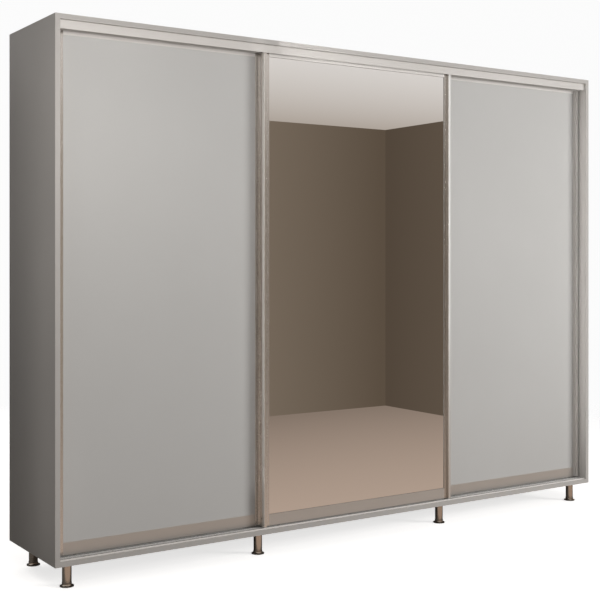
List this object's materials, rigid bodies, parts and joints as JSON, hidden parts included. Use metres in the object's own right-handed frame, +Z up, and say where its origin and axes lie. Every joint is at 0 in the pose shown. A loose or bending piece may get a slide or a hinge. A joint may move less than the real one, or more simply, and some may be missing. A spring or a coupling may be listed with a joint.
{
  "type": "sliding door wardrobe",
  "caption": "Wide wardrobe with sliding aluminium-framed doors, the middle one a mirror, on round adjustable legs.",
  "frame": {"origin": "on the floor, under the middle of the cabinet", "axes": "+Z up, the front faces -Y, +X to the right of someone facing the doors"},
  "size_m": [3.2, 0.56, 2.4],
  "materials": {
    "carcass_board": "matt light grey melamine-faced chipboard",
    "back_sheet": "thin fibreboard, painted on the inner face and raw at the back",
    "door_board": "matt light grey melamine-faced chipboard",
    "track_aluminium": "satin anodised",
    "frame_aluminium": "satin anodised, pale champagne",
    "mirror_glass": "silvered float glass",
    "gasket": "soft grey",
    "pile": "woven pile",
    "nylon": "black nylon",
    "leg_nickel": "satin nickel plated",
    "rail_chrome": "bright",
    "zinc": "zinc die casting",
    "screw_steel": "zinc plated"
  },
  "bodies": {
    "cabinet": {"back_panel_left": "back_sheet", "back_panel_middle": "back_sheet", "back_panel_right": "back_sheet", "bottom_panel": "carcass_board", "bottom_track": "track_aluminium", "cam_fittings": "zinc", "hanging_rails": "rail_chrome", "hat_shelf_left": "carcass_board", "hat_shelf_right": "carcass_board", "leg_screws": "screw_steel", "leg_tubes": "leg_nickel", "middle_shelves": "carcass_board", "partition_left": "carcass_board", "partition_right": "carcass_board", "rail_sockets": "zinc", "shelf_pins": "screw_steel", "side_panel_left": "carcass_board", "side_panel_right": "carcass_board", "top_panel": "carcass_board", "top_track": "track_aluminium", "track_screws": "screw_steel"},
    "door_left": {"door_left_frame_screws": "screw_steel", "door_left_panel": "door_board", "door_left_pile_strips": "pile", "door_left_rail_bottom": "frame_aluminium", "door_left_rail_top": "frame_aluminium", "door_left_running_gear": "nylon", "door_left_stile_left": "frame_aluminium", "door_left_stile_right": "frame_aluminium"},
    "door_mirror": {"door_mirror_frame_screws": "screw_steel", "door_mirror_gasket": "gasket", "door_mirror_mirror": "mirror_glass", "door_mirror_pile_strips": "pile", "door_mirror_rail_bottom": "frame_aluminium", "door_mirror_rail_top": "frame_aluminium", "door_mirror_running_gear": "nylon", "door_mirror_stile_left": "frame_aluminium", "door_mirror_stile_right": "frame_aluminium"},
    "door_right": {"door_right_frame_screws": "screw_steel", "door_right_panel": "door_board", "door_right_pile_strips": "pile", "door_right_rail_bottom": "frame_aluminium", "door_right_rail_top": "frame_aluminium", "door_right_running_gear": "nylon", "door_right_stile_left": "frame_aluminium", "door_right_stile_right": "frame_aluminium"},
    "door_left_wheel_left": {"door_left_wheel_left": "nylon"},
    "door_left_wheel_right": {"door_left_wheel_right": "nylon"},
    "door_mirror_wheel_left": {"door_mirror_wheel_left": "nylon"},
    "door_mirror_wheel_right": {"door_mirror_wheel_right": "nylon"},
    "door_right_wheel_left": {"door_right_wheel_left": "nylon"},
    "door_right_wheel_right": {"door_right_wheel_right": "nylon"},
    "foot_front_1": {"foot_front_1": "leg_nickel"},
    "foot_front_2": {"foot_front_2": "leg_nickel"},
    "foot_front_3": {"foot_front_3": "leg_nickel"},
    "foot_front_4": {"foot_front_4": "leg_nickel"},
    "foot_rear_1": {"foot_rear_1": "leg_nickel"},
    "foot_rear_2": {"foot_rear_2": "leg_nickel"},
    "foot_rear_3": {"foot_rear_3": "leg_nickel"},
    "foot_rear_4": {"foot_rear_4": "leg_nickel"}
  },
  "joints": [
    {"name": "door_left_slide", "type": "slide", "parent": "cabinet", "child": "door_left", "axis": [1, 0, 0], "range_m": [0, 1.1]},
    {"name": "door_left_wheel_left_spin", "type": "hinge", "parent": "door_left", "child": "door_left_wheel_left", "pos_m": [-1.486, -0.2079, 0.1393], "axis": [0, 1, 0], "continuous": true},
    {"name": "door_left_wheel_right_spin", "type": "hinge", "parent": "door_left", "child": "door_left_wheel_right", "pos_m": [-0.647, -0.2079, 0.1393], "axis": [0, 1, 0], "continuous": true},
    {"name": "door_mirror_slide", "type": "slide", "parent": "cabinet", "child": "door_mirror", "axis": [1, 0, 0], "range_m": [-1, 1]},
    {"name": "door_mirror_wheel_left_spin", "type": "hinge", "parent": "door_mirror", "child": "door_mirror_wheel_left", "pos_m": [-0.484, -0.2447, 0.1393], "axis": [0, 1, 0], "continuous": true},
    {"name": "door_mirror_wheel_right_spin", "type": "hinge", "parent": "door_mirror", "child": "door_mirror_wheel_right", "pos_m": [0.484, -0.2447, 0.1393], "axis": [0, 1, 0], "continuous": true},
    {"name": "door_right_slide", "type": "slide", "parent": "cabinet", "child": "door_right", "axis": [1, 0, 0], "range_m": [-1.1, 0]},
    {"name": "door_right_wheel_left_spin", "type": "hinge", "parent": "door_right", "child": "door_right_wheel_left", "pos_m": [0.647, -0.2079, 0.1393], "axis": [0, 1, 0], "continuous": true},
    {"name": "door_right_wheel_right_spin", "type": "hinge", "parent": "door_right", "child": "door_right_wheel_right", "pos_m": [1.486, -0.2079, 0.1393], "axis": [0, 1, 0], "continuous": true},
    {"name": "foot_front_1_turn", "type": "hinge", "parent": "cabinet", "child": "foot_front_1", "pos_m": [-1.524, -0.217, 0.0085], "axis": [0, 0, 1], "range_deg": [-2880, 0]},
    {"name": "foot_front_2_turn", "type": "hinge", "parent": "cabinet", "child": "foot_front_2", "pos_m": [-0.579, -0.217, 0.0085], "axis": [0, 0, 1], "range_deg": [-2880, 0]},
    {"name": "foot_front_3_turn", "type": "hinge", "parent": "cabinet", "child": "foot_front_3", "pos_m": [0.533, -0.217, 0.0085], "axis": [0, 0, 1], "range_deg": [-2880, 0]},
    {"name": "foot_front_4_turn", "type": "hinge", "parent": "cabinet", "child": "foot_front_4", "pos_m": [1.51, -0.217, 0.0085], "axis": [0, 0, 1], "range_deg": [-2880, 0]},
    {"name": "foot_rear_1_turn", "type": "hinge", "parent": "cabinet", "child": "foot_rear_1", "pos_m": [-1.524, 0.178, 0.0085], "axis": [0, 0, 1], "range_deg": [-2880, 0]},
    {"name": "foot_rear_2_turn", "type": "hinge", "parent": "cabinet", "child": "foot_rear_2", "pos_m": [-0.579, 0.178, 0.0085], "axis": [0, 0, 1], "range_deg": [-2880, 0]},
    {"name": "foot_rear_3_turn", "type": "hinge", "parent": "cabinet", "child": "foot_rear_3", "pos_m": [0.533, 0.178, 0.0085], "axis": [0, 0, 1], "range_deg": [-2880, 0]},
    {"name": "foot_rear_4_turn", "type": "hinge", "parent": "cabinet", "child": "foot_rear_4", "pos_m": [1.51, 0.178, 0.0085], "axis": [0, 0, 1], "range_deg": [-2880, 0]}
  ],
  "couplings": [
    {"joint": "door_left_wheel_left_spin", "follows": "door_left_slide", "rad_per_m": 66.667},
    {"joint": "door_left_wheel_right_spin", "follows": "door_left_slide", "rad_per_m": 66.667},
    {"joint": "door_mirror_wheel_left_spin", "follows": "door_mirror_slide", "rad_per_m": 66.667},
    {"joint": "door_mirror_wheel_right_spin", "follows": "door_mirror_slide", "rad_per_m": 66.667},
    {"joint": "door_right_wheel_left_spin", "follows": "door_right_slide", "rad_per_m": 66.667},
    {"joint": "door_right_wheel_right_spin", "follows": "door_right_slide", "rad_per_m": 66.667}
  ]
}
